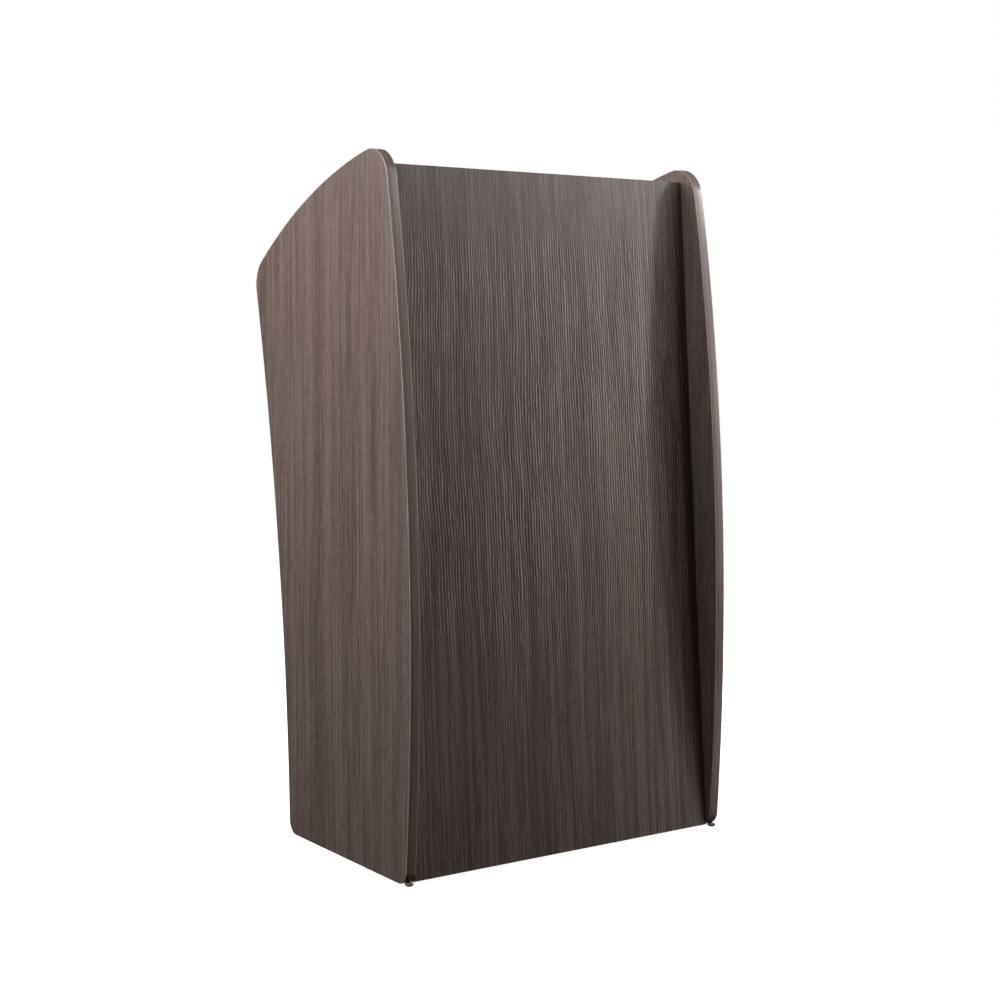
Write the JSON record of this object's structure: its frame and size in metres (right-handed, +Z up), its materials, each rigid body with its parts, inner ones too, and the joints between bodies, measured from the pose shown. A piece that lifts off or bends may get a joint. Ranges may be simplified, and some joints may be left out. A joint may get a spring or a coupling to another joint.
{
  "type": "presentation lectern",
  "caption": "Floor-standing lectern with curved side panels, a leaning front panel, a sloped reading surface with paper stop, open shelves behind and levelling feet.",
  "frame": {"origin": "on the floor, under the centre of the lectern's bounding box", "axes": "+Z up, +X across the lectern, -Y towards the audience and +Y towards the speaker"},
  "size_m": [0.64, 0.5117, 1.1509],
  "materials": {
    "laminate": "dark grey-brown woodgrain laminate, satin, with fine vertical grain",
    "edge_band": "PVC edge band printed to match the laminate, satin",
    "zinc_steel": "zinc plated",
    "cover_plastic": "moulded plastic, dark brown",
    "dowel_wood": "plain beech",
    "foot_plastic": "moulded nylon, dark grey"
  },
  "bodies": {
    "cabinet": {"left_side_panel": "laminate", "right_side_panel": "laminate", "front_panel": "laminate", "reading_surface": "laminate", "paper_stop": "laminate", "upper_shelf": "laminate", "bottom_shelf": "laminate", "toe_kick": "laminate", "left_side_band": "edge_band", "right_side_band": "edge_band", "front_panel_top_band": "edge_band", "front_panel_bottom_band": "edge_band", "upper_shelf_band": "edge_band", "bottom_shelf_band": "edge_band", "cam_locks": "zinc_steel", "cam_bolts": "zinc_steel", "shelf_pins": "zinc_steel", "paper_stop_screws": "zinc_steel", "foot_inserts": "zinc_steel", "cam_cover_caps": "cover_plastic", "wood_dowels": "dowel_wood"},
    "adjustable_shelf": {"adjustable_shelf": "laminate", "adjustable_shelf_band": "edge_band"},
    "foot_pad_front_left": {"foot_pad_front_left": "foot_plastic"},
    "foot_stud_front_left": {"foot_stud_front_left": "zinc_steel"},
    "foot_pad_front_right": {"foot_pad_front_right": "foot_plastic"},
    "foot_stud_front_right": {"foot_stud_front_right": "zinc_steel"},
    "foot_pad_rear_left": {"foot_pad_rear_left": "foot_plastic"},
    "foot_stud_rear_left": {"foot_stud_rear_left": "zinc_steel"},
    "foot_pad_rear_right": {"foot_pad_rear_right": "foot_plastic"},
    "foot_stud_rear_right": {"foot_stud_rear_right": "zinc_steel"}
  },
  "joints": [
    {"name": "adjustable_shelf_slide", "type": "slide", "parent": "cabinet", "child": "adjustable_shelf", "axis": [0, 1, 0], "range_m": [0, 0.36]},
    {"name": "foot_travel_front_left", "type": "slide", "parent": "cabinet", "child": "foot_pad_front_left", "axis": [0, 0, -1], "range_m": [0, 0.008]},
    {"name": "stud_turn_front_left", "type": "hinge", "parent": "foot_pad_front_left", "child": "foot_stud_front_left", "pos_m": [-0.311, -0.2364, 0], "axis": [0, 0, -1], "range_deg": [0, 3600]},
    {"name": "foot_travel_front_right", "type": "slide", "parent": "cabinet", "child": "foot_pad_front_right", "axis": [0, 0, -1], "range_m": [0, 0.008]},
    {"name": "stud_turn_front_right", "type": "hinge", "parent": "foot_pad_front_right", "child": "foot_stud_front_right", "pos_m": [0.311, -0.2364, 0], "axis": [0, 0, -1], "range_deg": [0, 3600]},
    {"name": "foot_travel_rear_left", "type": "slide", "parent": "cabinet", "child": "foot_pad_rear_left", "axis": [0, 0, -1], "range_m": [0, 0.008]},
    {"name": "stud_turn_rear_left", "type": "hinge", "parent": "foot_pad_rear_left", "child": "foot_stud_rear_left", "pos_m": [-0.311, 0.137, 0], "axis": [0, 0, -1], "range_deg": [0, 3600]},
    {"name": "foot_travel_rear_right", "type": "slide", "parent": "cabinet", "child": "foot_pad_rear_right", "axis": [0, 0, -1], "range_m": [0, 0.008]},
    {"name": "stud_turn_rear_right", "type": "hinge", "parent": "foot_pad_rear_right", "child": "foot_stud_rear_right", "pos_m": [0.311, 0.137, 0], "axis": [0, 0, -1], "range_deg": [0, 3600]}
  ],
  "couplings": [
    {"joint": "stud_turn_front_left", "follows": "foot_travel_front_left", "rad_per_m": 7854},
    {"joint": "stud_turn_front_right", "follows": "foot_travel_front_right", "rad_per_m": 7854},
    {"joint": "stud_turn_rear_left", "follows": "foot_travel_rear_left", "rad_per_m": 7854},
    {"joint": "stud_turn_rear_right", "follows": "foot_travel_rear_right", "rad_per_m": 7854}
  ]
}
